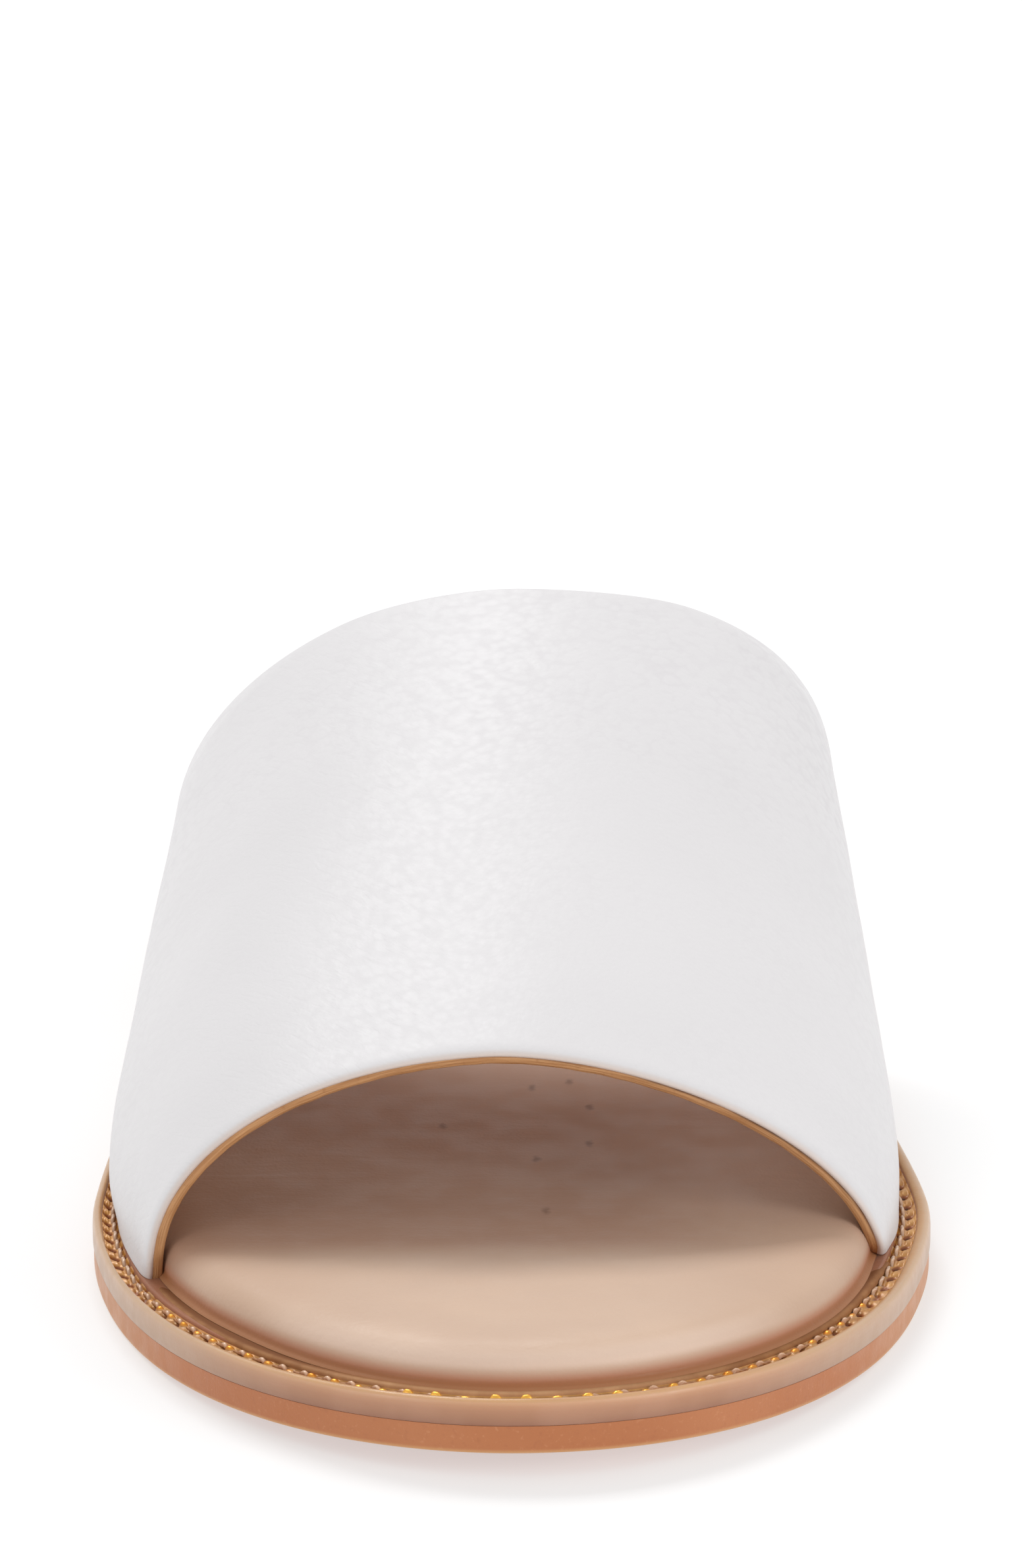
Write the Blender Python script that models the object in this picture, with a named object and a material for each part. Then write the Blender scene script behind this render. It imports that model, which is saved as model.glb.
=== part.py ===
"""Women's slide sandal for the right foot: outsole with a low heel, welted midsole, padded insole and
one broad band open at the toe and at the rear.

X points to the medial side, Y to the heel and Z up. The toe is at -Y and the sole rests on z = 0.
The driving sizes and tables are in millimetres; a mesh is made in metres.
"""
from collections import namedtuple
import math

import bpy
import bmesh
from mathutils import Vector

# ---- driving dimensions, in millimetres ----
LENGTH = 262.0
BALL_WIDTH = 102.0          # over the welt
INSTEP_HEIGHT = 67.5        # crown of the band at its rear edge, above the ground
HEEL_LIFT = 7.0             # rise of the foot bed from the ball to the heel
TOE_SPRING = 2.9
CLEARANCE = 0.3             # gap kept between neighbouring pieces

OUTSOLE_THICKNESS = 3.2
WELT_THICKNESS = 3.0        # from the outsole to the crest of the rim
WELT_FLANGE = 3.9           # from the rim's outer face to the foot of the band
INSOLE_THICKNESS = 5.0
LEATHER_WALL = 1.8
MARGIN_WIDTH = 9.0          # leather turned in under the insole
MARGIN_MITRE = 6.0          # by which the margin's inner edge stops short of the band's ends

HALF_BALL = BALL_WIDTH / 2
MIDSOLE_BASE = OUTSOLE_THICKNESS + CLEARANCE
BED_HEIGHT = MIDSOLE_BASE + WELT_THICKNESS - 0.1
INSOLE_BASE = BED_HEIGHT + CLEARANCE

TOE_SPRING_END = 53.0       # distances behind the toe tip
HEEL_RISE_START = 112.0
HEEL_RISE_END = 212.0
HEEL_BREAST = 202.0
BREAST_RUN = 1.6

# ---- plan outline of the welt ----
TOE_CAP = 0.294 * LENGTH
HEEL_CAP = 0.136 * LENGTH
TOE_FULLNESS = {"lateral": 1.93, "medial": 2.00}
HEEL_FULLNESS = 2.1
TOE_STEPS = 16
HEEL_STEPS = 9
SIDE_SIGN = {"lateral": -1.0, "medial": 1.0}

OutlineRow = namedtuple("OutlineRow", "station lateral medial")
OUTLINE_ROWS = (   # station / LENGTH, half-widths / HALF_BALL
    OutlineRow(0.200, 1.000, 1.000),
    OutlineRow(0.294, 1.000, 1.000),
    OutlineRow(0.390, 0.972, 0.947),
    OutlineRow(0.490, 0.925, 0.878),
    OutlineRow(0.590, 0.862, 0.800),
    OutlineRow(0.690, 0.795, 0.728),
    OutlineRow(0.780, 0.742, 0.690),
    OutlineRow(0.870, 0.712, 0.680),
    OutlineRow(1.000, 0.690, 0.670),
)

# ---- the band's cross-sections: fullness shapes an arch near its crown, shoulder near its sides ----
BandRow = namedtuple("BandRow", "station lateral medial crown ridge widest "
                                "lateral_fullness medial_fullness lateral_shoulder medial_shoulder")
BAND_ROWS = (      # station / LENGTH, widths and ridge / HALF_BALL, crown and widest / INSTEP_HEIGHT
    BandRow(0.166, 0.835, 0.850, 0.472, -0.053, 0.106, 2.10, 1.60, 2.10, 1.60),
    BandRow(0.296, 0.966, 0.934, 0.646, -0.032, 0.119, 1.97, 1.81, 1.83, 1.81),
    BandRow(0.426, 0.936, 0.903, 0.830, -0.011, 0.273, 1.91, 1.99, 1.57, 1.86),
    BandRow(0.555, 0.868, 0.836, 1.000, 0.009, 0.455, 1.66, 1.90, 1.89, 2.88),
)
BAND_FRONT = {"lateral": 47.0, "medial": 53.4}    # front edge at its two feet, behind the toe tip
BAND_REAR_CROWN = 142.9
BAND_REAR_FOOT = 154.4
BAND_HALF_WIDTH = 44.0                            # of the front edge, foot to axis
TUCK_RISE = 0.8                                   # least rise from the margin to the widest height
BAND_STEPS_ALONG = 15
BAND_STEPS_ARC = 15
BAND_STEPS_TUCK = 4
SECTION_PASSES = 5                                # repeats that settle a point on the slanted edges

# ---- edge profiles, outer foot to inner edge: inset from the outline, height in the layer ----
ProfileRow = namedtuple("ProfileRow", "inset height")
OUTSOLE_FOOT = (ProfileRow(0.9, 0.0), ProfileRow(0.15, 0.8))
OUTSOLE_TOP = (ProfileRow(0.15, OUTSOLE_THICKNESS - 0.4), ProfileRow(0.5, OUTSOLE_THICKNESS))
WELT_PROFILE = (
    ProfileRow(0.50, 0.0),
    ProfileRow(0.00, 0.4),
    ProfileRow(0.00, WELT_THICKNESS - 0.8),
    ProfileRow(0.30, WELT_THICKNESS - 0.2),
    ProfileRow(0.70, WELT_THICKNESS),
    ProfileRow(1.10, WELT_THICKNESS - 0.2),
    ProfileRow(1.30, WELT_THICKNESS - 1.0),
    ProfileRow(3.60, WELT_THICKNESS - 1.0),
    ProfileRow(3.80, WELT_THICKNESS - 0.1),
)
INSOLE_ROLL = (
    ProfileRow(0.00, INSOLE_THICKNESS - 2.2),
    ProfileRow(0.35, INSOLE_THICKNESS - 1.3),
    ProfileRow(1.20, INSOLE_THICKNESS - 0.5),
    ProfileRow(3.00, INSOLE_THICKNESS - 0.05),
    ProfileRow(14.0, INSOLE_THICKNESS + 0.25),
)
INSOLE_INSET_TOE = 4.5
INSOLE_INSET_BAND = 6.7
INSET_RUN = 10.0                                  # over which the insole changes from one to the other
INSOLE_RECESS = LEATHER_WALL + CLEARANCE          # height kept free for the turned-in margin
CORE_INSET = 0.25
RECESS_DEPTH = MARGIN_WIDTH                       # across, from the insole's side to its core
RECESS_LEAD = 1.9                                 # start ahead of the band's front foot
RECESS_LAG = 0.7                                  # end behind its rear foot
RECESS_STEP = 1.3                                 # run of either end


def metres(x, distance, z):
    """A point from millimetres: across, behind the toe tip, and up."""
    return Vector((x, distance - LENGTH / 2, z)) / 1000


def smooth_step(value, start, end):
    """0 before start, 1 after end, and a smooth rise between."""
    part = min(max((value - start) / (end - start), 0.0), 1.0)
    return part * part * (3 - 2 * part)


def interpolate(rows, column, station):
    """Cubic Hermite curve through one column of a table; slopes come from the neighbouring rows."""
    last = len(rows) - 1
    index = 0
    while index < last - 1 and station > rows[index + 1].station:
        index += 1

    def slope(row):
        before = rows[max(row - 1, 0)]
        after = rows[min(row + 1, last)]
        return (getattr(after, column) - getattr(before, column)) / (after.station - before.station)

    low = rows[index]
    high = rows[index + 1]
    run = high.station - low.station
    part = min(max((station - low.station) / run, 0.0), 1.0)
    square = part * part
    cube = square * part
    return ((2 * cube - 3 * square + 1) * getattr(low, column)
            + (cube - 2 * square + part) * run * slope(index)
            + (3 * square - 2 * cube) * getattr(high, column)
            + (cube - square) * run * slope(index + 1))


def lift(distance):
    """Rise of the sole's layers: toe spring in front, heel pitch behind."""
    spring = TOE_SPRING * max(1 - distance / TOE_SPRING_END, 0.0) ** 2
    return spring + HEEL_LIFT * smooth_step(distance, HEEL_RISE_START, HEEL_RISE_END)


def underside(distance):
    """Height of the outsole's lower face: it follows the pitch, and the heel block fills down to 0."""
    breast = smooth_step(distance, HEEL_BREAST - BREAST_RUN / 2, HEEL_BREAST + BREAST_RUN / 2)
    return lift(distance) * (1 - breast)


def half_width(distance, side):
    """Half-width of the welt's outline on one side of the foot's axis."""
    width = HALF_BALL * interpolate(OUTLINE_ROWS, side, distance / LENGTH)
    toe = 1 - min(distance / TOE_CAP, 1.0)
    heel = 1 - min((LENGTH - distance) / HEEL_CAP, 1.0)
    fullness = TOE_FULLNESS[side]
    toe_factor = (1 - toe ** fullness) ** (1 / fullness)
    heel_factor = (1 - heel ** HEEL_FULLNESS) ** (1 / HEEL_FULLNESS)
    return width * toe_factor * heel_factor


def cap_stations(length, steps):
    """Distances from the tip of a rounded end to the end of its cap, closest together at the tip."""
    return [length * (1 - math.cos(math.pi / 2 * step / steps)) for step in range(steps + 1)]


def stations():
    """Distances behind the toe tip at which the outline is cut, close together where it turns."""
    least_gap = 1.6
    recess_starts = [BAND_FRONT[side] - RECESS_LEAD for side in SIDE_SIGN] + [BAND_REAR_FOOT + RECESS_LAG]
    recess_ends = [start + run for start in recess_starts for run in (0.0, RECESS_STEP)]
    breast = [HEEL_BREAST - BREAST_RUN / 2, HEEL_BREAST + BREAST_RUN / 2]
    ball = list(range(86, 147, 10))
    waist = list(range(165, 196, 10))
    seat = [210, 218]
    toe = [value for value in cap_stations(TOE_CAP, TOE_STEPS)
           if all(abs(value - end) > least_gap for end in recess_ends)]
    heel = [LENGTH - value for value in cap_stations(HEEL_CAP, HEEL_STEPS)]
    return sorted(toe + recess_ends + ball + waist + breast + seat + heel)


STATIONS = stations()


def outline():
    """The welt's outline as (x, distance) pairs: down the medial side from the toe, back up the lateral."""
    medial = [(half_width(distance, "medial"), distance) for distance in STATIONS]
    lateral = [(-half_width(distance, "lateral"), distance) for distance in STATIONS[-2:0:-1]]
    return [Vector(pair) for pair in medial + lateral]


OUTLINE = outline()


def no_shift(_point):
    """Shift across of a ring that is only inset."""
    return 0.0


def inset_loop(inset, shift):
    """The outline moved inward by inset(point) square to the edge, and by shift(point) straight across."""
    loop = []
    count = len(OUTLINE)
    for index, point in enumerate(OUTLINE):
        tangent = (OUTLINE[(index + 1) % count] - OUTLINE[index - 1]).normalized()
        inward = Vector((-tangent.y, tangent.x))
        across = Vector((-math.copysign(shift(point), point.x), 0.0))
        loop.append(point + inward * inset(point) + across)
    return loop


def layer_loop(mesh, inset, height, shift):
    """Ring of vertices: the inset outline, at height(distance)."""
    loop = inset_loop(inset, shift)
    return [mesh.verts.new(metres(point.x, point.y, height(point.y))) for point in loop]


def bridge(mesh, lower, upper):
    """Quads between two rings of the same count."""
    count = len(lower)
    for index in range(count):
        after = (index + 1) % count
        mesh.faces.new((lower[index], lower[after], upper[after], upper[index]))


def ladder_cap(mesh, ring):
    """Fills a ring with cross strips from its medial to its lateral side."""
    count = len(ring)
    half = count // 2
    for step in range(half):
        medial = [ring[step], ring[step + 1]]
        lateral = [ring[(count - step - 1) % count], ring[(count - step) % count]]
        mesh.faces.new(medial + [corner for corner in lateral if corner not in medial])


def finish_object(name, mesh, material):
    """Makes the named object from a closed mesh, with its faces pointing out."""
    bmesh.ops.recalc_face_normals(mesh, faces=mesh.faces)
    bmesh.ops.triangulate(mesh, faces=[face for face in mesh.faces if len(face.verts) > 3])
    data = bpy.data.meshes.new(name)
    mesh.to_mesh(data)
    mesh.free()
    data.materials.append(material)
    data.shade_smooth()
    data.set_sharp_from_angle(angle=math.radians(35))
    part = bpy.data.objects.new(name, data)
    bpy.context.scene.collection.objects.link(part)
    return part


def make_material(name, colour, roughness):
    """Principled material without metal."""
    material = bpy.data.materials.new(name)
    material.use_nodes = True
    shader = material.node_tree.nodes["Principled BSDF"]
    shader.inputs["Base Color"].default_value = (*colour, 1.0)
    shader.inputs["Roughness"].default_value = roughness
    shader.inputs["Metallic"].default_value = 0.0
    return material


def layered_solid(name, rings, material):
    """Closed solid from rings listed bottom to top: each is its inset, height and shift functions."""
    mesh = bmesh.new()
    loops = [layer_loop(mesh, *ring) for ring in rings]
    for lower, upper in zip(loops, loops[1:]):
        bridge(mesh, lower, upper)
    ladder_cap(mesh, loops[0])
    ladder_cap(mesh, loops[-1])
    return finish_object(name, mesh, material)


def fixed_ring(row, base):
    """Ring of one profile row on a layer whose lower face is at base(distance)."""
    return (lambda point: row.inset), (lambda distance: base(distance) + row.height), no_shift


def make_outsole(material):
    """Rubber outsole: flat at the ball, arched at the waist, with a low heel block."""
    rings = [fixed_ring(row, underside) for row in OUTSOLE_FOOT]
    rings += [fixed_ring(row, lift) for row in OUTSOLE_TOP]
    return layered_solid("outsole", rings, material)


def make_midsole(material):
    """Welted midsole: a plate whose edge is a rounded rim with a groove inside it."""
    rings = [fixed_ring(row, lambda distance: lift(distance) + MIDSOLE_BASE) for row in WELT_PROFILE]
    return layered_solid("midsole_welt", rings, material)


def side_of(point):
    """Name of the side of the foot's axis on which a point lies."""
    return "lateral" if point.x < 0 else "medial"


def insole_inset(point):
    """Inset of the insole's side: larger between the band's walls than in front of them or behind."""
    front = BAND_FRONT[side_of(point)]
    rear = BAND_REAR_FOOT + RECESS_LAG
    narrowed = smooth_step(point.y, front - INSET_RUN, front - RECESS_LEAD)
    widened = smooth_step(point.y, rear, rear + INSET_RUN)
    return INSOLE_INSET_TOE + (INSOLE_INSET_BAND - INSOLE_INSET_TOE) * (narrowed - widened)


def recess_shift(point):
    """Step across from the insole's side to its core, over the band's turned-in margin."""
    front = BAND_FRONT[side_of(point)] - RECESS_LEAD
    rear = BAND_REAR_FOOT + RECESS_LAG
    opened = smooth_step(point.y, front, front + RECESS_STEP)
    closed = smooth_step(point.y, rear, rear + RECESS_STEP)
    return RECESS_DEPTH * (opened - closed)


def make_insole(material):
    """Padded insole with a rolled edge, and a recess under its edge for the band's margin."""
    def rolled(row):
        return (lambda point: insole_inset(point) + row.inset,
                lambda distance: lift(distance) + INSOLE_BASE + row.height,
                no_shift)

    def core(height):
        inset, level, _shift = rolled(ProfileRow(CORE_INSET, height))
        return inset, level, recess_shift

    rings = [core(0.0), core(INSOLE_RECESS), rolled(ProfileRow(0.0, INSOLE_RECESS))]
    rings += [rolled(row) for row in INSOLE_ROLL]
    return layered_solid("insole", rings, material)


def band_foot(distance, side):
    """Half-width at which the band's outer face meets the welt, one flange inside the outline."""
    step = 0.5
    slope = (half_width(distance + step, side) - half_width(distance - step, side)) / (2 * step)
    return half_width(distance, side) - WELT_FLANGE * math.hypot(1.0, slope)


def band_distance(across, turn, part):
    """Distance behind the toe of a point on the band: part 0 is the front edge and part 1 the rear."""
    middle = (BAND_FRONT["lateral"] + BAND_FRONT["medial"]) / 2
    slant = (BAND_FRONT["medial"] - BAND_FRONT["lateral"]) / (2 * BAND_HALF_WIDTH)
    front = middle + slant * across
    rear = BAND_REAR_CROWN + (BAND_REAR_FOOT - BAND_REAR_CROWN) * math.cos(turn) ** 2
    return front + (rear - front) * part


def section_point(distance, side, turn, wall):
    """Point of the section's arch: turn 0 is its widest height and pi / 2 its crown. The inner face
    is the same arch made smaller by the wall, starting clear of the turned-in margin."""
    station = distance / LENGTH
    sign = SIDE_SIGN[side]
    ridge = HALF_BALL * interpolate(BAND_ROWS, "ridge", station)
    wide = HALF_BALL * interpolate(BAND_ROWS, side, station) - wall
    crown = INSTEP_HEIGHT * interpolate(BAND_ROWS, "crown", station) - wall
    widest = INSTEP_HEIGHT * interpolate(BAND_ROWS, "widest", station)
    widest = max(widest, margin_height(distance, wall) + TUCK_RISE)
    fullness = interpolate(BAND_ROWS, side + "_fullness", station)
    shoulder = interpolate(BAND_ROWS, side + "_shoulder", station)
    across = ridge + sign * (wide - sign * ridge) * math.cos(turn) ** (2 / fullness)
    return across, widest + (crown - widest) * math.sin(turn) ** (2 / shoulder)


def margin_height(distance, wall):
    """Height of the turned-in margin: its lower face, or its upper one a wall higher."""
    return lift(distance) + INSOLE_BASE + wall


def band_half_row(side, part, wall):
    """Points of one side of the band, from its turned-in margin up to the crown: the outer face
    where wall is 0, and else the inner face."""
    sign = SIDE_SIGN[side]
    arch = []
    for step in range(BAND_STEPS_ARC + 1):
        turn = math.pi / 2 * step / BAND_STEPS_ARC
        across = sign * BAND_HALF_WIDTH
        for _ in range(SECTION_PASSES):
            distance = band_distance(across, turn, part)
            across, height = section_point(distance, side, turn, wall)
        arch.append((across, distance, height))
    wide, distance, widest = arch[0]
    foot = band_foot(distance, side) - wall
    base = margin_height(distance, wall)
    tuck = []
    for step in range(BAND_STEPS_TUCK):
        rise = step / BAND_STEPS_TUCK
        width = abs(wide) - (abs(wide) - foot) * (1 - rise) ** 2
        tuck.append((sign * width, distance, base + (widest - base) * rise))
    turned_in = MARGIN_WIDTH - wall
    mitre = MARGIN_MITRE * (1 - 2 * part)
    margin = []
    for share in (1.0, 0.5):
        behind = distance + mitre * share
        margin.append((sign * (foot - turned_in * share), behind, margin_height(behind, wall)))
    return margin + tuck + arch


def make_band(material):
    """Upper: one hollow leather band over the instep, open at both ends and underneath."""
    mesh = bmesh.new()
    rings = []
    for step in range(BAND_STEPS_ALONG + 1):
        part = step / BAND_STEPS_ALONG
        outer, inner = (band_half_row("lateral", part, wall) + band_half_row("medial", part, wall)[-2::-1]
                        for wall in (0.0, LEATHER_WALL))
        rings.append([mesh.verts.new(metres(*point)) for point in outer + inner[::-1]])
    for front, rear in zip(rings, rings[1:]):
        bridge(mesh, front, rear)
    for ring in (rings[0], rings[-1]):
        last = len(ring) - 1
        for index in range(len(ring) // 2 - 1):
            mesh.faces.new((ring[index], ring[index + 1], ring[last - index - 1], ring[last - index]))
    return finish_object("upper_band", mesh, material)


def main():
    """Clears the scene and builds the four pieces."""
    for item in list(bpy.data.objects):
        bpy.data.objects.remove(item)
    make_outsole(make_material("terracotta rubber", (0.44, 0.17, 0.08), 0.55))
    make_midsole(make_material("honey rubber", (0.52, 0.32, 0.20), 0.40))
    make_insole(make_material("beige leather", (0.62, 0.44, 0.32), 0.60))
    make_band(make_material("white leather", (0.82, 0.80, 0.81), 0.50))


main()
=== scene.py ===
"""Visual model of a women's slide sandal for the right foot, built on its CAD frame.

X points to the medial side, Y to the heel and Z up; the toe is at -Y. Shapes are worked out in
millimetres and every mesh is made in metres. "Distance" is always measured behind the toe tip.
"""

import math
from collections import namedtuple

import bmesh
import bpy
import numpy as np
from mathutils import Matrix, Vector, noise


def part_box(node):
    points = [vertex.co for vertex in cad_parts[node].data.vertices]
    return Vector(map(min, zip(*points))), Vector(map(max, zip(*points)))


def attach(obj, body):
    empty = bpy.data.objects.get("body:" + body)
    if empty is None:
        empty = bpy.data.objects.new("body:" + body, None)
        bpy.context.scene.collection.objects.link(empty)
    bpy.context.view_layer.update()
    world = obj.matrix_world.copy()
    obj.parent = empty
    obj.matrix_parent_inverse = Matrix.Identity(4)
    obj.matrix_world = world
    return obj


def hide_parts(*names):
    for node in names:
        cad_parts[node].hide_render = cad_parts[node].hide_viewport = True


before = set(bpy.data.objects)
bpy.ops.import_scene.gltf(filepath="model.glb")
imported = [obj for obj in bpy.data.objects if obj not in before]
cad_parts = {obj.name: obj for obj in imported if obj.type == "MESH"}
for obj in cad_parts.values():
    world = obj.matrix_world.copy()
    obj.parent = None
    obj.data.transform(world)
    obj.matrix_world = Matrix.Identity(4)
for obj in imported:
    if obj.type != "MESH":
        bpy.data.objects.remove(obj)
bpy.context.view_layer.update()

# ---- sizes taken from the frame, in millimetres ----
MM = 0.001
WELT_LOW, WELT_HIGH = (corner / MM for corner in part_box("midsole_welt"))
LENGTH = WELT_HIGH.y - WELT_LOW.y
HALF_BALL = (WELT_HIGH.x - WELT_LOW.x) / 2
MIDSOLE_BASE = WELT_LOW.z
OUTSOLE_THICKNESS = MIDSOLE_BASE - 0.3
WELT_THICKNESS = 3.0
BED_HEIGHT = MIDSOLE_BASE + WELT_THICKNESS - 0.1
INSOLE_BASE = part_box("insole")[0].z / MM

# ---- the shape shared with the CAD ----
# Rows of numbers; a smooth curve over the first column joins the numbers of each other column.
Table = namedtuple("Table", "columns rows")

INSTEP_HEIGHT = 67.5
HEEL_LIFT = 7.0
TOE_SPRING = 2.9
TOE_SPRING_END = 53.0
HEEL_RISE_START = 112.0
HEEL_RISE_END = 212.0
HEEL_BREAST = 202.0
BREAST_RUN = 1.6
TOE_CAP = 0.294 * LENGTH
HEEL_CAP = 0.136 * LENGTH
TOE_FULLNESS = {"lateral": 1.93, "medial": 2.00}
HEEL_FULLNESS = 2.1
SIDE_SIGN = {"lateral": -1.0, "medial": 1.0}

# Half widths of the sole as shares of HALF_BALL, at shares of LENGTH.
OUTLINE = Table(("station", "lateral", "medial"), np.array((
    (0.200, 1.000, 1.000),
    (0.294, 1.000, 1.000),
    (0.390, 0.972, 0.947),
    (0.490, 0.925, 0.878),
    (0.590, 0.862, 0.800),
    (0.690, 0.795, 0.728),
    (0.780, 0.742, 0.690),
    (0.870, 0.712, 0.680),
    (1.000, 0.690, 0.670),
)))
# Sections of the band at shares of LENGTH: widths are shares of HALF_BALL and heights of INSTEP_HEIGHT.
BAND = Table(("station", "lateral", "medial", "crown", "ridge", "widest",
              "lateral_fullness", "medial_fullness", "lateral_shoulder", "medial_shoulder"), np.array((
    (0.166, 0.835, 0.850, 0.472, -0.053, 0.106, 2.10, 1.60, 2.10, 1.60),
    (0.296, 0.966, 0.934, 0.646, -0.032, 0.119, 1.97, 1.81, 1.83, 1.81),
    (0.426, 0.936, 0.903, 0.830, -0.011, 0.273, 1.91, 1.99, 1.57, 1.86),
    (0.555, 0.868, 0.836, 1.000, 0.009, 0.455, 1.66, 1.90, 1.89, 2.88),
)))
BAND_FRONT = {"lateral": 47.0, "medial": 53.4}
BAND_REAR_CROWN = 142.9
BAND_REAR_FOOT = 154.4
BAND_HALF_WIDTH = 44.0
TUCK_RISE = 0.8

# ---- the finer shape of the visual model ----
STITCH_PITCH = 3.2
BAND_FOOT_INSET = {"lateral": 3.0, "medial": 3.85}
CORNER_SETBACK = {"lateral": 0.6, "medial": 2.2}
CORNER_HEIGHT = 4.0
FRONT_ROLL_SHARE = 0.02
REAR_ROLL_SHARE = 0.008
EDGE_ROLL_DEPTH = 0.72
EDGE_PAINT_DEPTH = 2.25

# Inset of the insole's side from the welt's outline.
INSET = Table(("distance", "lateral", "medial"), np.array((
    (0.0, 4.80, 4.80),
    (8.0, 5.35, 4.90),
    (22.0, 6.15, 4.85),
    (33.0, 5.85, 4.90),
    (45.0, 5.65, 5.35),
    (55.0, 5.85, 5.95),
    (150.0, 5.85, 5.95),
    (168.0, 4.60, 4.60),
    (262.0, 4.50, 4.50),
)))
# How far the rim and the thread of the channel stray from their even inset.
SHIFT = Table(("distance", "lateral_rim", "medial_rim", "lateral_thread", "medial_thread"), np.array((
    (0.0, 0.00, 0.00, 0.00, 0.00),
    (20.0, 0.00, 0.00, 0.00, 0.00),
    (42.0, -0.60, 0.15, -0.68, 0.33),
    (52.0, -0.70, 0.35, -0.70, 0.35),
    (66.0, -0.15, 0.45, -0.50, 0.35),
    (88.0, -0.15, 0.35, -0.50, 0.35),
    (125.0, 0.00, 0.00, 0.00, 0.00),
    (262.0, 0.00, 0.00, 0.00, 0.00),
)))
# Length of the stitches as a share of STITCH_PITCH.
PITCH = Table(("distance", "lateral", "medial"), np.array((
    (0.0, 1.15, 1.15),
    (7.0, 1.13, 1.32),
    (17.0, 1.22, 1.34),
    (34.0, 1.10, 1.22),
    (52.0, 1.00, 1.18),
    (100.0, 1.00, 1.18),
    (160.0, 1.00, 1.00),
    (262.0, 1.00, 1.00),
)))


def smooth_step(value, start, end):
    part = np.clip((value - start) / (end - start), 0.0, 1.0)
    return part * part * (3 - 2 * part)


def interpolate(table, column, station):
    """Cubic Hermite curve through one column of a table."""
    at = table.rows[:, 0]
    values = table.rows[:, table.columns.index(column)]
    last = len(at) - 1
    before = np.maximum(np.arange(last + 1) - 1, 0)
    after = np.minimum(np.arange(last + 1) + 1, last)
    slopes = (values[after] - values[before]) / (at[after] - at[before])
    station = np.asarray(station, float)
    index = np.clip(np.searchsorted(at, station, side="left") - 1, 0, last - 1)
    run = at[index + 1] - at[index]
    part = np.clip((station - at[index]) / run, 0.0, 1.0)
    square = part * part
    cube = square * part
    return ((2 * cube - 3 * square + 1) * values[index] + (cube - 2 * square + part) * run * slopes[index]
            + (3 * square - 2 * cube) * values[index + 1] + (cube - square) * run * slopes[index + 1])


def lift(distance):
    spring = TOE_SPRING * np.maximum(1 - distance / TOE_SPRING_END, 0.0) ** 2
    return spring + HEEL_LIFT * smooth_step(distance, HEEL_RISE_START, HEEL_RISE_END)


def half_width(distance, side):
    width = HALF_BALL * interpolate(OUTLINE, side, distance / LENGTH)
    toe = 1 - np.minimum(distance / TOE_CAP, 1.0)
    heel = 1 - np.minimum((LENGTH - distance) / HEEL_CAP, 1.0)
    fullness = TOE_FULLNESS[side]
    return (width * (1 - toe ** fullness) ** (1 / fullness)
            * (1 - heel ** HEEL_FULLNESS) ** (1 / HEEL_FULLNESS))


# ---- mesh helpers ----
# Points at either end of a ring that one face spans, where the grid that fills the ring would be too narrow.
CAP_TIP = 9


def to_frame(x, distance, height):
    """Points in metres, in the CAD's frame, from millimetres across, behind the toe tip and up."""
    return np.stack(np.broadcast_arrays(x, distance - LENGTH / 2, height), axis=-1) * MM


def unit(vectors):
    return vectors / np.maximum(np.linalg.norm(vectors, axis=-1, keepdims=True), 1e-12)


def run_along(path):
    """Distance of each point of a path from the first, along the path."""
    return np.concatenate([[0], np.cumsum(np.linalg.norm(np.diff(np.array(path, float), axis=0), axis=1))])


def grid(rows, columns, across, along, closed_rows=False, closed_columns=False):
    """Quads of a grid of points numbered row by row, and the texture coordinates of their corners. across has
    a value for each column and along one for each row, with one more where that direction is closed."""
    row = np.arange(rows if closed_rows else rows - 1)
    column = np.arange(columns if closed_columns else columns - 1)
    row, column = (part.ravel() for part in np.meshgrid(row, column, indexing="ij"))
    corners = ((row, column), (row, column + 1), (row + 1, column + 1), (row + 1, column))
    faces = np.stack([r % rows * columns + c % columns for r, c in corners], axis=1)
    return faces, np.stack([np.stack([across[c], along[r]], axis=-1) for r, c in corners], axis=1)


def add_object(name, data):
    added = bpy.data.objects.new(name, data)
    bpy.context.scene.collection.objects.link(added)
    return added


def make_object(name, points, faces, look, corners, tones=None, sharp=60):
    """One piece of the shoe, on its only body. faces lists arrays of quads and single polygons, corners holds
    texture coordinates in millimetres for the first array, and tones are named values for each vertex."""
    polygons = []
    for group in faces:
        polygons += group.tolist() if isinstance(group, np.ndarray) else [group]
    data = bpy.data.meshes.new(name)
    data.from_pydata(points.reshape(-1, 3).tolist(), [], polygons)
    layer = data.uv_layers.new(name="millimetres")
    texture = np.zeros((len(data.loops), 2))
    texture[:corners.size // 2] = corners.reshape(-1, 2)
    layer.data.foreach_set("uv", texture.ravel())
    for tone, values in (tones or {}).items():
        attribute = data.attributes.new(tone, "FLOAT", "POINT")
        attribute.data.foreach_set("value", np.ascontiguousarray(values, dtype=np.float32).ravel())
    data.materials.append(look)
    data.validate()
    piece = add_object(name, data)
    orient(data)
    data.shade_smooth()
    data.set_sharp_from_angle(angle=math.radians(sharp))
    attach(piece, "root")
    return piece


def orient(data):
    """Faces point out, and corners that share a place share a vertex."""
    mesh = bmesh.new()
    mesh.from_mesh(data)
    bmesh.ops.remove_doubles(mesh, verts=mesh.verts, dist=1e-6)
    bmesh.ops.recalc_face_normals(mesh, faces=mesh.faces)
    mesh.to_mesh(data)
    mesh.free()


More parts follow.
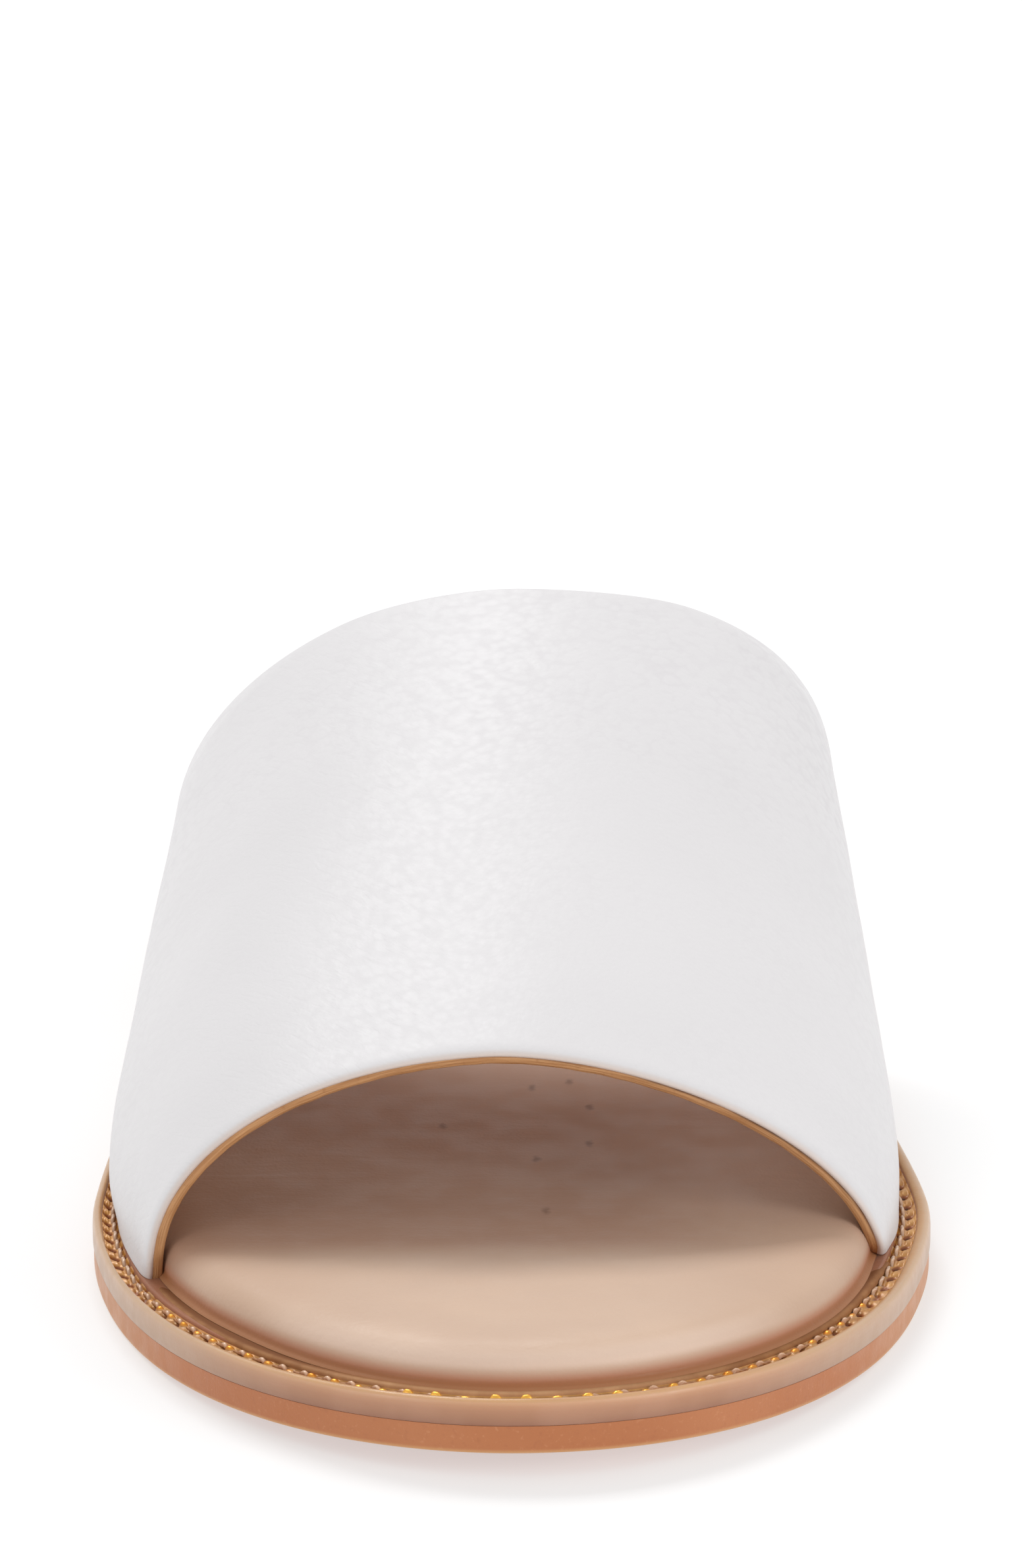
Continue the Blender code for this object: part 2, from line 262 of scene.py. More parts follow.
def make_strip(name, rows, across, along, look, tones=None):
    """Closed piece whose cross-section is the loop of rows; the columns run along it from end to end."""
    total, width = rows.shape[:2]
    sides, corners = grid(total, width, across, along, closed_rows=True)
    ends = [[row * width + last for row in range(total)] for last in (0, width - 1)]
    return make_object(name, rows, [sides] + ends, look, corners, tones)


# ---- rings along the welt ----
# run has the distance of each point from the first, along the ring, and then the whole girth.
Ring = namedtuple("Ring", "points inward run")


def outline(count):
    """Points equally far apart on the welt's outline, from the toe tip down the medial side and back."""
    turn = np.linspace(0, math.pi, 4001)
    distance = LENGTH * (1 - np.cos(turn)) / 2
    medial = np.column_stack([half_width(distance, "medial"), distance])
    lateral = np.column_stack([-half_width(distance, "lateral"), distance])[-2:0:-1]
    loop = np.vstack([medial, lateral, medial[:1]])
    along = run_along(loop)
    run = np.arange(count + 1) / count * along[-1]
    points = np.column_stack([np.interp(run[:-1], along, loop[:, axis]) for axis in (0, 1)])
    tangent = unit(np.roll(points, -1, axis=0) - np.roll(points, 1, axis=0))
    return Ring(points, np.column_stack([-tangent[:, 1], tangent[:, 0]]), run)


def ring_rows(ring, profile, base):
    """Rows of points, one for each (inset, height) of the profile, over base(distance)."""
    rows = []
    for inset, height in profile:
        place = ring.points + ring.inward * np.reshape(inset, (-1, 1))
        rows.append(to_frame(place[:, 0], place[:, 1], base(place[:, 1]) + height))
    return np.array(rows)


def by_row(values, count):
    """One value for all points of each row."""
    return np.repeat(np.reshape(values, (-1, 1)), count, axis=1)


def cap_parts(row, steps, first, start):
    """Faces and inner points that fill a ring, from its medial to its lateral side, with a single face at
    each tip. row holds the ring's points; first and start number its first vertex and the first inner one."""
    count = len(row)
    half = count // 2
    step = np.arange(CAP_TIP, half - CAP_TIP + 1)
    share = np.linspace(0, 1, steps + 1)[None, 1:-1, None]
    inner = row[step][:, None] * (1 - share) + row[count - step][:, None] * share
    number = start + np.arange(len(step) * (steps - 1)).reshape(len(step), steps - 1)
    index = np.column_stack([first + step, number, first + count - step])
    body = np.stack([index[:-1, :-1], index[:-1, 1:], index[1:, 1:], index[1:, :-1]], axis=-1).reshape(-1, 4)
    front = [first + place % count for place in range(count - CAP_TIP + 1, count + CAP_TIP)]
    rear = [first + place for place in range(half + CAP_TIP - 1, half - CAP_TIP, -1)]
    return [body, index[0].tolist() + front, index[-1].tolist() + rear], inner


def capped_solid(name, rows, look, ring, profile, steps=(1, 1), relief=None, tones=None, sharp=60):
    """Closed piece from rings listed bottom to top. steps has the number of cells across the lower and the
    upper cap, and relief changes the inner points of the lower one."""
    total, count = rows.shape[:2]
    points = [rows.reshape(-1, 3)]
    wall, corners = grid(total, count, ring.run, run_along(profile), closed_columns=True)
    faces = [wall]
    start = total * count
    for row, first, cap_steps in ((rows[0], 0, steps[0]), (rows[-1], start - count, steps[1])):
        cap, inner = cap_parts(row, cap_steps, first, start)
        if relief and first == 0:
            inner = relief(inner)
        points.append(inner.reshape(-1, 3))
        start += inner.shape[0] * inner.shape[1]
        faces += cap
    tones = {key: np.append(value, np.full(start - value.size, value[-1, 0]))
             for key, value in (tones or {}).items()}
    return make_object(name, np.vstack(points), faces, look, corners, tones, sharp)


# ---- materials ----
# Middles of the dark specks on the insole, across and behind the toe tip, and their shape.
INSOLE_SPECKS = ((2.6, 103.2), (9.8, 95.4), (7.3, 105.5), (-8.4, 87.7), (3.1, 75.3), (9.6, 81.5), (4.2, 56.0))
SPECK_SHAPE = (1.0, 2.4, 4.0)
SPECK_HEIGHT = 12.0
SPECK_REACH = 0.75


def colour(red, green, blue):
    """Linear RGBA from the usual 0 to 255 values."""
    def linear(value):
        value /= 255
        return value / 12.92 if value <= 0.04045 else ((value + 0.055) / 1.055) ** 2.4
    return (linear(red), linear(green), linear(blue), 1.0)


class Look:
    """A procedural material under construction. Its textures measure in millimetres."""

    def __init__(self, name, roughness, **sockets):
        self.material = bpy.data.materials.new(name)
        self.material.use_nodes = True
        self.tree = self.material.node_tree
        self.surface = self.tree.nodes["Principled BSDF"]
        self.surface.inputs["Roughness"].default_value = roughness
        for key, value in sockets.items():
            self.surface.inputs[key.replace("_", " ")].default_value = value

    def node(self, kind, inputs=None, **settings):
        node = self.tree.nodes.new("ShaderNode" + kind)
        for key, value in settings.items():
            setattr(node, key, value)
        for key, value in (inputs or {}).items():
            self.connect(value, node.inputs[key])
        return node

    def connect(self, value, socket):
        if isinstance(value, bpy.types.NodeSocket):
            self.tree.links.new(value, socket)
        else:
            socket.default_value = value

    def set(self, key, value):
        self.connect(value, self.surface.inputs[key])

    def place(self):
        """Position in the CAD's frame, in millimetres."""
        source = self.node("TexCoord").outputs["Object"]
        return self.node("VectorMath", {0: source, "Scale": 1 / MM}, operation="SCALE").outputs[0]

    def along(self):
        """Texture coordinates of the mesh, in millimetres."""
        return self.node("UVMap", uv_map="millimetres").outputs[0]

    def tone(self, name):
        return self.node("Attribute", attribute_name=name).outputs["Fac"]

    def axis(self, vector, name):
        return self.node("SeparateXYZ", {0: vector}).outputs[name]

    def stretch(self, vector, scale, turn=0.0):
        return self.node("Mapping", {"Vector": vector, "Rotation": (0, 0, turn), "Scale": scale},
                         vector_type="TEXTURE").outputs[0]

    def noise(self, vector, size, detail=2.0, output="Fac"):
        inputs = {"Vector": vector, "Scale": 1 / size, "Detail": detail, "Roughness": 0.5}
        return self.node("TexNoise", inputs).outputs[output]

    def cells(self, vector, size, smoothness=0.35):
        inputs = {"Vector": vector, "Scale": 1 / size, "Smoothness": smoothness}
        return self.node("TexVoronoi", inputs, feature="SMOOTH_F1").outputs["Distance"]

    def math(self, operation, *values):
        return self.node("Math", dict(enumerate(values)), operation=operation).outputs[0]

    def times(self, product, *others):
        for other in others:
            product = self.math("MULTIPLY", product, other)
        return product

    def shifted(self, vector, size, amount):
        """The vector moved about by a slow noise, so that a pattern on it isn't regular."""
        swirl = self.node("VectorMath", {0: self.noise(vector, size, output="Color"), 1: (0.5, 0.5, 0.5)},
                          operation="SUBTRACT").outputs[0]
        return self.node("VectorMath", {0: swirl, 1: (amount,) * 3, 2: vector},
                         operation="MULTIPLY_ADD").outputs[0]

    def between(self, value, start, end, low=0.0, high=1.0):
        """low where value is at start, high where it is at end, with a smooth change."""
        return self.node("MapRange", {"Value": value, "From Min": start, "From Max": end, "To Min": low,
                                      "To Max": high}, interpolation_type="SMOOTHSTEP").outputs["Result"]

    def patches(self, vector, size, detail=2.0, start=0.3, end=0.7, low=0.0, high=1.0):
        """Noise that becomes low where it is under start and high where it is over end."""
        return self.between(self.noise(vector, size, detail), start, end, low, high)

    def blend(self, factor, low, high):
        """Mix of two colours, each from a node or given as red, green and blue of 0 to 255."""
        node = self.node("Mix", {"Factor": factor}, data_type="RGBA")
        for number, shade in ((6, low), (7, high)):
            self.connect(colour(*shade) if isinstance(shade, tuple) else shade, node.inputs[number])
        return node.outputs[2]

    def paint(self, body, *coats):
        """Base colour: body, then each coat's colour blended over it by the coat's factor."""
        for factor, shade in coats:
            body = self.blend(factor, body, shade)
        self.set("Base Color", body)

    def bands(self, value, stops):
        """Colour ramp through stops of a position and its red, green and blue."""
        node = self.node("ValToRGB", {"Fac": value})
        ramp = node.color_ramp
        while len(ramp.elements) < len(stops):
            ramp.elements.new(0.5)
        for element, (position, shade) in zip(ramp.elements, stops):
            element.position = position
            element.color = colour(*shade)
        return node.outputs["Color"]

    def relief(self, *layers):
        """Bump from (height, depth in millimetres) pairs."""
        normal = None
        for height, depth in layers:
            inputs = {"Height": height, "Distance": depth * MM, "Strength": 1.0}
            if normal is not None:
                inputs["Normal"] = normal
            normal = self.node("Bump", inputs).outputs[0]
        self.set("Normal", normal)


def outsole_look():
    """Terracotta rubber with a painted highlight on its lower edge and painted reflection paling the sides.
    """
    look = Look("terracotta rubber", 0.46, Specular_IOR_Level=0.35, Sheen_Weight=0.15, Sheen_Roughness=0.4,
                Sheen_Tint=(1.0, 0.86, 0.66, 1.0))
    place = look.place()
    along = look.along()
    body = look.blend(look.patches(place, 26.0, 2.0, 0.35, 0.65), (176, 109, 68), (184, 118, 77))
    look.paint(body, (look.patches(place, 0.5, 3.0, 0.58, 0.76, high=0.22), (214, 156, 116)),
               (look.patches(place, 0.8, 4.0, 0.55, 0.75, high=0.18), (150, 86, 58)),
               # Painted reflection: paler along the sides, where the bright surroundings glance off the
               # rubber.
               (look.between(look.axis(place, "Y"), -108.0, -84.0, 0.0, 0.3), (202, 152, 112)),
               # Painted highlight: a pale line along the lower edge of the wall.
               (look.between(look.axis(along, "Y"), 0.25, 0.95, 0.8, 0.0), (212, 164, 112)))
    streaks = look.noise(look.stretch(along, (0.45, 6.0, 1.0)), 1.0)
    look.relief((look.noise(place, 0.35, 4.0), 0.03), (streaks, 0.02), (look.noise(place, 4.0), 0.06))
    look.set("Roughness", look.patches(place, 3.0, low=0.36, high=0.5))
    return look.material


def tread_look():
    """The same rubber under the sole, matt and slightly scuffed."""
    look = Look("terracotta tread", 0.7, Specular_IOR_Level=0.3)
    place = look.place()
    worn = look.patches(place, 30.0, 4.0, 0.45, 0.65)
    look.paint((176, 108, 76), (worn, (190, 124, 92)))
    look.relief((look.noise(place, 0.5, 4.0), 0.06), (look.cells(place, 1.3), 0.05))
    return look.material


def welt_look():
    """Honey-coloured rubber whose wall runs from a brown foot to a pale rim, greyer along the sides by
    painted reflection, with a brown channel inside the rim whose brown on the rim's inner slope is painted
    shade."""
    look = Look("honey welt", 0.38, Specular_IOR_Level=0.38, Subsurface_Weight=0.1, Subsurface_Scale=0.002,
                Subsurface_Radius=(1.0, 0.6, 0.4), Sheen_Weight=0.22, Sheen_Roughness=0.45,
                Sheen_Tint=(1.0, 0.93, 0.85, 1.0))
    place = look.place()
    inner = look.tone("inner")
    height = look.math("MULTIPLY_ADD", look.noise(place, 14.0), 0.5, look.tone("rise"))
    body = look.bands(look.math("DIVIDE", look.math("SUBTRACT", height, 0.1), 3.15), (
        (0.0, (146, 98, 75)), (0.10, (154, 109, 85)), (0.32, (166, 120, 92)), (0.55, (176, 128, 98)),
        (0.74, (189, 141, 107)), (0.86, (203, 157, 121)), (0.95, (200, 157, 112)), (1.0, (184, 136, 84))))
    look.paint(body, (look.patches(place, 7.0, 3.0, 0.35, high=0.16), (200, 158, 136)),
               # Painted reflection: greyer and paler along the sides, as if the white surroundings glanced
               # off them.
               (look.between(look.axis(place, "Y"), -126.0, -96.0, 0.0, 0.6), (186, 161, 138)),
               (look.between(inner, 0.5, 1.0, 0.0, 0.9), (176, 122, 56)),
               # Brown channel; where it shows on the rim's inner slope this brown is painted shade.
               (look.between(inner, 1.12, 1.26), (150, 88, 50)))
    streaks = look.noise(look.stretch(look.along(), (8.0, 0.6, 1.0)), 1.0)
    look.relief((look.noise(place, 0.5, 3.0), 0.02), (streaks, 0.03))
    look.set("Roughness", look.patches(place, 2.0, 3.0, low=0.33, high=0.46))
    return look.material


def amber_look():
    """Amber strip: brown at the toe and tan at the sides, with holes darkened by painted shade and painted
    golden glints.
    """
    look = Look("amber rand", 0.38, Specular_IOR_Level=0.4, Coat_Weight=0.12, Coat_Roughness=0.15)
    pit = look.tone("pit")
    glint_mask = look.tone("glint_mask")
    place = look.place()
    grain = look.patches(place, 1.1)
    front = look.blend(grain, (170, 118, 66), (202, 152, 92))
    tan = look.blend(grain, (194, 134, 66), (216, 158, 82))
    # Painted glint: the domes' tops, and a line along the inner lip at the toe, are painted bright gold,
    # brightest at the very toe.
    glint_colour = look.blend(look.between(look.axis(place, "Y"), -127.0, -118.0), (250, 190, 84), (226, 150, 56))
    look.paint(front, (look.tone("side"), tan), (look.between(glint_mask, 0.15, 0.6), glint_colour),
               # Painted shade: the slots and holes are darkened where shade falls into them.
               (look.between(pit, 0.1, 0.36), (158, 92, 48)), (look.between(pit, 0.4, 0.75), (84, 40, 20)))
    look.set("Metallic", look.between(glint_mask, 0.2, 0.7, 0.1, 0.85))
    look.relief((look.noise(place, 0.3, 3.0), 0.03))
    return look.material


def thread_look():
    """Waxed thread of two plies, paler at the sides of the shoe, with a painted highlight paling each
    stitch's thick end.
    """
    look = Look("waxed thread", 0.34, Specular_IOR_Level=0.4, Coat_Weight=0.15, Coat_Roughness=0.15)
    along = look.along()
    slant = look.math("ADD", look.axis(along, "X"), look.axis(along, "Y"))
    ply = look.between(look.math("SINE", look.times(slant, 5.0)), -1.0, 1.0)
    front = look.blend(ply, (160, 106, 64), (186, 134, 90))
    # Painted highlight: the thick front end of each stitch is painted paler.
    head_highlight = look.between(look.tone("head_highlight"), 0.2, 0.85)
    look.paint(front, (look.tone("side"), look.blend(ply, (204, 168, 140), (220, 190, 164))),
               (head_highlight, look.blend(ply, (198, 152, 118), (222, 184, 154))))
    look.relief((ply, 0.04))
    return look.material


def ledge_look():
    """Brown ledge between the channel and the insole, with painted light at the toe and painted shade
    inwards.
    """
    look = Look("brown ledge", 0.66, Specular_IOR_Level=0.12)
    place = look.place()
    grain = look.patches(place, 2.5, 3.0)
    at_toe = look.between(look.axis(place, "Y"), -128.0, -112.0, 1.0, 0.0)
    look.paint(look.blend(grain, (140, 94, 59), (157, 111, 72)),
               # Painted light: paler at the toe.
               (at_toe, look.blend(grain, (182, 136, 98), (198, 154, 114))),
               # Painted shade: darker inwards, beside the insole's foot.
               (look.tone("dark"), look.blend(at_toe, (126, 81, 50), (172, 122, 80))))
    look.relief((look.noise(place, 0.6, 3.0), 0.03))
    return look.material


def insole_look():
    """Smooth beige lining leather with fine pores, faint creases and a few dark specks. Painted shade darkens
    its foot, sides and the band's shadow, and warms it under the band; painted light pales the toe's crest
    and the medial half there."""
    look = Look("insole leather", 0.5, Specular_IOR_Level=0.22, Coat_Weight=0.03, Coat_Roughness=0.3)
    place = look.place()
    across = look.axis(place, "X")
    behind = look.axis(place, "Y")
    rise = look.tone("rise")
    body = look.blend(look.patches(place, 22.0, 3.0), (200, 172, 151), (206, 178, 156))
    # Under the band the colour is painted: warmer as painted shade, and paler to the medial side as painted
    # light.
    inside = look.times(look.between(behind, -82.0, -60.0), look.between(behind, 16.0, 34.0, 1.0, 0.0))
    # Painted shadow cast by the band's front edge, just behind it, weaker towards the medial side.
    painted_band_shadow = look.times(look.between(behind, -94.0, -84.0), look.between(behind, -76.0, -50.0, 0.8, 0.0),
                        look.between(across, 10.0, 36.0, 1.0, 0.3))
    # Painted highlight along the rolled crest of the toe.
    crest_highlight = look.times(look.between(rise, 2.2, 3.2), look.between(rise, 3.8, 6.2, 0.4, 0.0),
                       look.between(behind, -117.0, -102.0, 1.0, 0.0))
    wander = look.stretch(look.shifted(place, 0.9, 0.9), SPECK_SHAPE)
    nearest = SPECK_REACH
    for x, distance in INSOLE_SPECKS:
        centre = np.divide((x, distance - LENGTH / 2, SPECK_HEIGHT), SPECK_SHAPE).tolist()
        away = look.node("VectorMath", {0: wander, 1: centre}, operation="DISTANCE").outputs["Value"]
        nearest = look.math("MINIMUM", nearest, away)
    # Painted shade: darker towards both sides.
    look.paint(body, (look.between(look.math("ABSOLUTE", across), 12.0, 34.0, 0.0, 0.5), (190, 158, 134)),
               # Painted shade: warmer under the band, then the band's painted shadow.
               (look.times(inside, 0.8), (204, 168, 144)), (painted_band_shadow, (164, 126, 104)),
               # Painted light: paler on the medial side under the band.
               (look.times(inside, look.between(across, 6.0, 34.0, 0.0, 0.65)), (238, 210, 192)),
               # The crest's painted highlight, then painted shade in three steps towards the foot of the
               # rolled edge.
               (crest_highlight, (234, 210, 194)), (look.between(rise, 1.0, 2.75, 1.0, 0.0), (181, 129, 102)),
               (look.between(rise, 0.8, 1.5, 1.0, 0.0), (160, 106, 70)),
               (look.between(rise, 0.32, 0.7, 1.0, 0.0), (166, 114, 78)),
               (look.between(nearest, 0.1, SPECK_REACH, 0.45, 0.0), (96, 60, 42)))
    pores = look.cells(look.shifted(place, 1.5, 0.4), 0.42)
    creases = look.noise(look.stretch(look.shifted(place, 12.0, 4.0), (34.0, 2.2, 8.0)), 1.0, 3.0)
    look.relief((creases, 0.08), (look.noise(place, 0.8, 4.0), 0.035), (pores, 0.015))
    look.set("Roughness", look.patches(place, 5.0, 3.0, low=0.44, high=0.56))
    return look.material


def white_look():
    """White pebbled leather: rounder pebbles at the rear of the crown, drawn-out wrinkles on the lateral
    half and a finer grain to the front and the medial side."""
    look = Look("white pebbled leather", 0.5, Specular_IOR_Level=0.28, Sheen_Weight=0.1, Sheen_Roughness=0.5)
    along = look.along()
    place = look.place()
    behind = look.axis(along, "Y")
    lateral = look.between(look.axis(place, "X"), 8.0, -22.0)
    rear = look.between(behind, 42.0, 84.0)
    swirl = look.stretch(look.shifted(along, 6.0, 1.6), (1.0, 1.55, 1.0), math.radians(40))
    mix = look.node("Mix", {"Factor": lateral}, data_type="FLOAT")
    look.connect(look.cells(look.shifted(along, 1.4, 0.55), 1.25, 0.5), mix.inputs[2])
    look.connect(look.cells(look.shifted(swirl, 1.2, 0.5), 1.1, 0.45), mix.inputs[3])
    coarse = mix.outputs[0]
    fine = look.cells(look.shifted(along, 0.9, 0.3), 0.62, 0.4)
    strength = look.times(look.between(rear, 0.0, 1.0, 0.3, 1.0), look.between(lateral, 0.0, 1.0, 1.0, 0.6),
                          look.patches(place, 15.0, 2.0, 0.35, 0.65, 0.45))
    wrinkles = look.stretch(look.shifted(along, 9.0, 2.5), (0.8, 4.5, 1.0), math.radians(38))
    wrinkles = look.times(look.patches(wrinkles, 1.0, 2.0, 0.32, 0.5), lateral)
    body = look.blend(look.patches(place, 40.0), (212, 210, 211), (215, 213, 214))
    # Painted shade: the coarse pebbles' hollows are a little darker.
    look.paint(body, (look.times(look.between(coarse, 0.45, 0.75), strength, 0.25), (198, 194, 197)),
               (look.between(behind, -2.2, -1.2, 0.4, 0.0), (204, 172, 146)))
    look.relief((look.noise(place, 7.0), 0.03), (wrinkles, 0.012),
                (look.times(coarse, strength, -1.0), 0.07), (look.times(fine, -1.0), 0.02))
    look.set("Roughness", look.between(coarse, 0.2, 0.8, 0.46, 0.56))
    return look.material


def edge_look():
    """Tan edge paint with faint streaks along the edge, and a painted shade line in the crevice on the medial
    side.
    """
    look = Look("tan edge paint", 0.42, Specular_IOR_Level=0.45)
    along = look.along()
    streak = look.patches(look.stretch(along, (9.0, 0.25, 1.0)), 1.0, 3.0)
    # Painted shade in the crevice between the white leather's roll and the paint, strongest on the medial
    # side.
    crevice_shade = look.times(look.patches(look.stretch(along, (14.0, 60.0, 1.0)), 1.0, 2.0, 0.38, 0.55),
                        look.between(look.axis(look.place(), "X"), -6.0, 22.0, 0.15, 1.0),
                        look.between(look.axis(along, "Y"), 0.55, 0.95, 1.0, 0.0))
    look.paint(look.blend(streak, (176, 126, 82), (200, 152, 106)),
               (look.patches(along, 1.4, 3.0, 0.58, 0.75, high=0.35), (146, 94, 54)), (crevice_shade, (84, 50, 30)))
    look.relief((streak, 0.05), (look.noise(along, 0.35, 3.0), 0.03))
    return look.material


def lining_look():
    """Beige lining leather, warmer and darker under the crown as painted shade, with soft creases along the
    arch.
    """
    look = Look("lining leather", 0.6, Specular_IOR_Level=0.2)
    along = look.along()
    place = look.place()
    mottled = look.patches(place, 16.0, 3.0)
    # Painted shade: the lining under the crown is warmer and darker.
    crown = look.blend(mottled, (204, 161, 125), (216, 175, 141))
    look.paint(look.blend(mottled, (212, 192, 176), (222, 204, 190)),
               (look.between(look.axis(place, "Z"), 22.0, 46.0), crown))
    creases = look.noise(look.stretch(look.shifted(along, 10.0, 3.0), (26.0, 1.8, 1.0)), 1.0, 3.0)
    look.relief((creases, 0.08), (look.cells(look.shifted(along, 1.5, 0.4), 0.5), 0.02))
    return look.material


# ---- sole ----
TREAD_PITCH = 5.2
TREAD_DEPTH = 0.7
TREAD_WAVE = 1.8
TREAD_WAVE_RUN = 6.5
TREAD_BORDER = 6.5
# Where the tread of the ball and of the heel starts, is full, starts to fade and ends.
TREAD_ZONES = ((22.0, 23.5, 106.0, 108.0), (HEEL_BREAST + 7, HEEL_BREAST + 8.5, 252.0, 253.5))


def underside_relief(points):
    """Shallow waved grooves pressed into the ball and the heel of the sole, inside a plain border."""
    x = points[..., 0] / MM
    distance = points[..., 1] / MM + LENGTH / 2
    width = np.where(x > 0, half_width(distance, "medial"), half_width(distance, "lateral"))
    border = np.minimum(width - np.abs(x), np.minimum(distance, LENGTH - distance))
    waved = distance + TREAD_WAVE * np.sin(x / TREAD_WAVE_RUN)
    groove = smooth_step(np.cos(waved * 2 * math.pi / TREAD_PITCH), 0.0, 0.9)
    treaded = sum(smooth_step(distance, start, full) * smooth_step(distance, end, fade)
                  for start, full, fade, end in TREAD_ZONES)
    depth = TREAD_DEPTH * groove * smooth_step(border, TREAD_BORDER, TREAD_BORDER + 2) * treaded
    raised = points.copy()
    raised[..., 2] += depth * MM
    return raised


# Each profile is an inset and a height for every ring, in order from the lower face to the upper one.
OUTSOLE_PROFILE = (
    (0.62, 0.0), (0.38, 0.05), (0.24, 0.16), (0.17, 0.34), (0.14, 0.6), (0.13, 1.2), (0.13, 1.9),
    (0.13, 2.6), (0.10, 3.22), (0.11, 3.33), (0.30, 3.37),
)
WELT_PROFILE = (
    (0.34, -0.135), (0.13, -0.13), (0.04, -0.08), (0.01, 0.02), (0.00, 0.40), (0.00, 0.9), (0.00, 1.4),
    (0.01, 1.9), (0.04, 2.25), (0.10, 2.52), (0.20, 2.74), (0.36, 2.90), (0.60, 2.975), (0.86, 2.98),
    (1.05, 2.91), (1.18, 2.76), (1.26, 2.50), (1.30, 2.10), (1.34, 1.50), (2.4, 1.40), (3.55, 1.50),
    (3.60, 2.35), (3.68, 2.68), (3.82, 2.82), (4.10, 2.86), (7.5, 2.86),
)


def underside(distance):
    """Height of the sole's lower face: it meets the ground behind the heel's breast."""
    breast = smooth_step(distance, HEEL_BREAST - BREAST_RUN / 2, HEEL_BREAST + BREAST_RUN / 2)
    return lift(distance) * (1 - breast)


def make_outsole(look, tread):
    """Rubber sole and heel in one piece: a wall along the outline, and a waved tread underneath."""
    ring = outline(1200)
    rows = []
    for inset, height in OUTSOLE_PROFILE:
        place = ring.points + ring.inward * inset
        base = lift if height > OUTSOLE_THICKNESS / 2 else underside
        rows.append(to_frame(place[:, 0], place[:, 1], base(place[:, 1]) + height))
    piece = capped_solid("outsole_unit", np.array(rows), look, ring, OUTSOLE_PROFILE,
                         steps=(90, 1), relief=underside_relief, sharp=50)
    piece.data.materials.append(tread)
    wall_faces = (len(rows) - 1) * len(ring.points)
    for face in piece.data.polygons:
        if face.index >= wall_faces and face.normal.z < 0.5:
            face.material_index = 1
    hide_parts("outsole")


def welt_base(distance):
    return lift(distance) + MIDSOLE_BASE


def by_side(table, place, kind=""):
    """A table's values at each place, from its column for the lateral or the medial side."""
    lateral, medial = (interpolate(table, side + kind, place[:, 1]) for side in ("lateral", "medial"))
    return np.where(place[:, 0] < 0, lateral, medial)


def channel_inset(inset, ring):
    """Inset of a point of the stitched channel. On the lateral side of the ball the channel runs nearer the
    edge than on the medial side, and its rim and its thread don't keep the same distance everywhere."""
    rim = by_side(SHIFT, ring.points, "_rim")
    thread = by_side(SHIFT, ring.points, "_thread")
    inset = np.asarray(inset, float)
    shift = rim + (thread - rim) * smooth_step(inset, 1.4, 2.6)
    return inset + shift * smooth_step(inset, 0.6, 1.25)


def make_welt():
    """Midsole whose edge is a rounded rim, with a channel for the stitches inside it."""
    ring = outline(1500)
    profile = [(channel_inset(inset, ring), height) for inset, height in WELT_PROFILE]
    inner, rise = (by_row(values, len(ring.points)) for values in zip(*WELT_PROFILE))
    piece = capped_solid("welt_midsole", ring_rows(ring, profile, welt_base), welt_look(),
                         ring, WELT_PROFILE, tones={"rise": rise, "inner": inner})
    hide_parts("midsole_welt")


def stitch_phase(ring):
    """Number of stitches from the toe to each point of a ring, and the whole number of them all. They are
    longer round the toe and on the medial side."""
    pitch = STITCH_PITCH * by_side(PITCH, ring.points)
    steps = ring.run[-1] / len(ring.points) / pitch
    phase = np.concatenate([[0], np.cumsum((steps + np.roll(steps, -1)) / 2)])
    stitches = round(phase[-1])
    return phase * (stitches / phase[-1]), stitches


def near(phase, place):
    """Signed distance in millimetres from the nearest repeat of a place in the pattern of stitches."""
    return STITCH_PITCH * ((phase - place + 0.5) % 1.0 - 0.5)


def spot(gap, width, power=2):
    """1 where the gap is nothing, falling to nothing well outside the width."""
    return np.exp(-(gap / width) ** power)


def stitch_zones(distance):
    """How far a place belongs to the sides of the shoe, and how far to the very tip of the toe."""
    return smooth_step(distance, 34.0, 52.0), 1 - smooth_step(distance, 1.0, 7.0)


AMBER_INSETS = np.array((
    1.24, 1.28, 1.34, 1.42, 1.52, 1.64, 1.78, 1.92, 2.06, 2.18, 2.30, 2.40,
    2.50, 2.60, 2.72, 2.86, 3.00, 3.12, 3.24, 3.34, 3.44, 3.54, 3.64,
))
AMBER_FOOT = ((3.62, 1.3), (1.26, 1.3))
AMBER_BASE = 2.12
RIB_HEIGHT = 0.15
PIT_DEPTH = 0.7


